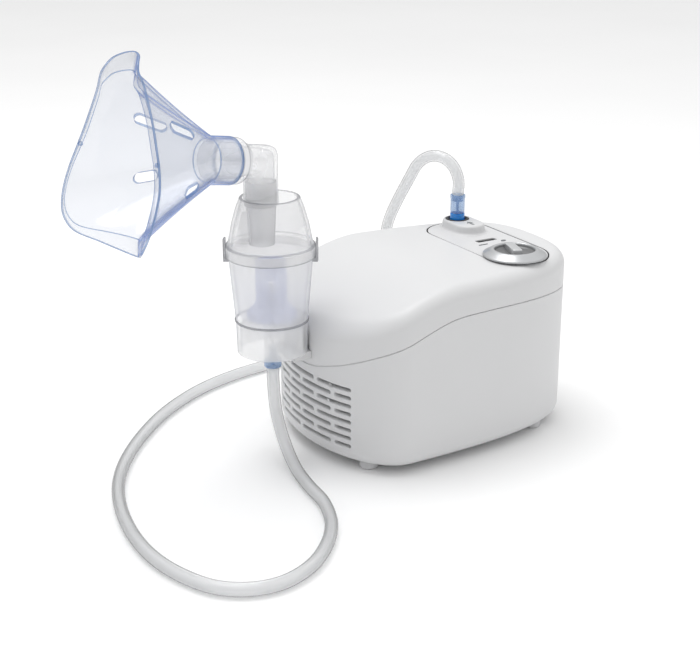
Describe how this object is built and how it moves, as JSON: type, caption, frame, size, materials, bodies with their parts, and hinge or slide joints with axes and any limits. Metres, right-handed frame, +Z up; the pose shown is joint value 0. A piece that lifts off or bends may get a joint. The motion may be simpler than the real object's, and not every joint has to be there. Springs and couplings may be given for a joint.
{
  "type": "tabletop compressor nebulizer",
  "caption": "Compact white compressor unit with a rotary switch and a front holder that carries a clear nebulizer cup, elbow and face mask, joined by a looped clear air tube.",
  "frame": {"origin": "centre of the footprint of everything but the air tube and its plugs, on the table under the feet", "axes": "+Z up; -X towards the nose with the nebulizer kit and mask; -Y towards the side with the control knob; +X towards the tail with the mains inlet"},
  "size_m": [0.2902, 0.2615, 0.2307],
  "materials": {
    "white_case": "satin",
    "silver_knob": "satin metallic paint",
    "dark_plastic": "satin",
    "frosted_plastic": "frosted",
    "clear_plastic": "clear",
    "clear_pvc": "clear, faintly blue",
    "tube_pvc": "clear",
    "blue_plastic": "translucent",
    "pale_blue_plastic": "translucent",
    "grey_rubber": "matte",
    "black_rubber": "matte",
    "steel": "satin",
    "lamination_steel": "satin",
    "aluminium": "cast",
    "copper_wire": "enamelled",
    "bronze": "sintered",
    "silicone": "matte",
    "felt": "felt",
    "brown_wire": "satin",
    "blue_wire": "satin",
    "white_inner": "satin"
  },
  "bodies": {
    "case": {"top_cover": "white_case", "lower_case": "white_case", "control_panel": "white_case", "kit_holder": "white_case", "indicator_lens": "dark_plastic", "outlet_socket": "dark_plastic", "rotary_switch": "dark_plastic", "mains_inlet": "dark_plastic", "inlet_pin_left": "steel", "inlet_pin_right": "steel", "filter_housing": "white_inner", "air_filter": "felt", "stator": "lamination_steel", "motor_winding": "copper_wire", "front_bracket": "aluminium", "compressor_frame": "aluminium", "front_bush": "bronze", "rear_bush": "bronze", "motor_bolt_1": "steel", "motor_bolt_2": "steel", "cylinder": "aluminium", "valve_plate": "steel", "cylinder_head": "aluminium", "head_screw_1": "steel", "head_screw_2": "steel", "pressure_hose": "silicone", "intake_hose": "silicone", "wire_live": "brown_wire", "wire_neutral": "blue_wire", "kit_plug": "blue_plastic", "outlet_plug": "blue_plastic", "air_tube": "tube_pvc", "foot_1": "grey_rubber", "case_screw_1": "steel", "motor_mount_1": "black_rubber", "foot_2": "grey_rubber", "case_screw_2": "steel", "motor_mount_2": "black_rubber", "foot_3": "grey_rubber", "case_screw_3": "steel", "motor_mount_3": "black_rubber", "foot_4": "grey_rubber", "case_screw_4": "steel", "motor_mount_4": "black_rubber"},
    "knob": {"power_knob": "silver_knob"},
    "kit": {"kit_cup": "frosted_plastic", "vaporizer_head": "pale_blue_plastic"},
    "cap": {"kit_cap": "frosted_plastic"},
    "elbow": {"elbow": "clear_plastic"},
    "mask": {"mask": "clear_pvc"},
    "rotor": {"motor_shaft": "steel", "rotor_core": "lamination_steel", "cooling_fan": "dark_plastic", "crank_disc": "steel"},
    "rod": {"connecting_rod": "aluminium", "wrist_pin": "steel"},
    "piston": {"piston": "aluminium", "piston_ring": "dark_plastic"},
    "filter_cover": {"filter_cover": "white_case"}
  },
  "joints": [
    {"name": "knob_turn", "type": "hinge", "parent": "case", "child": "knob", "pos_m": [0.0995, -0.0327, 0.105], "axis": [0, 0, 1], "range_deg": [-90, 0]},
    {"name": "kit_lift", "type": "slide", "parent": "case", "child": "kit", "axis": [0, 0, 1], "range_m": [0, 0.016]},
    {"name": "cap_twist", "type": "hinge", "parent": "kit", "child": "cap", "pos_m": [-0.0362, 0, 0.12], "axis": [0, 0, 1], "range_deg": [0, 25]},
    {"name": "elbow_swivel", "type": "hinge", "parent": "cap", "child": "elbow", "pos_m": [-0.0412, 0, 0.15], "axis": [0, 0, 1], "continuous": true},
    {"name": "mask_swivel", "type": "hinge", "parent": "elbow", "child": "mask", "pos_m": [-0.0412, 0, 0.1665], "axis": [-0.9596, -0.2215, 0.1736], "continuous": true},
    {"name": "motor_spin", "type": "hinge", "parent": "case", "child": "rotor", "pos_m": [0.061, 0, 0.042], "axis": [1, 0, 0], "continuous": true},
    {"name": "rod_on_crank", "type": "hinge", "parent": "rotor", "child": "rod", "pos_m": [0.087, 0, 0.046], "axis": [1, 0, 0], "continuous": true},
    {"name": "piston_stroke", "type": "slide", "parent": "case", "child": "piston", "axis": [0, 0, 1], "range_m": [-0.008, 0]},
    {"name": "filter_cover_pull", "type": "slide", "parent": "case", "child": "filter_cover", "axis": [1, 0, 0], "range_m": [0, 0.012]}
  ],
  "couplings": [
    {"joint": "rod_on_crank", "follows": "motor_spin", "ratio": -1}
  ]
}
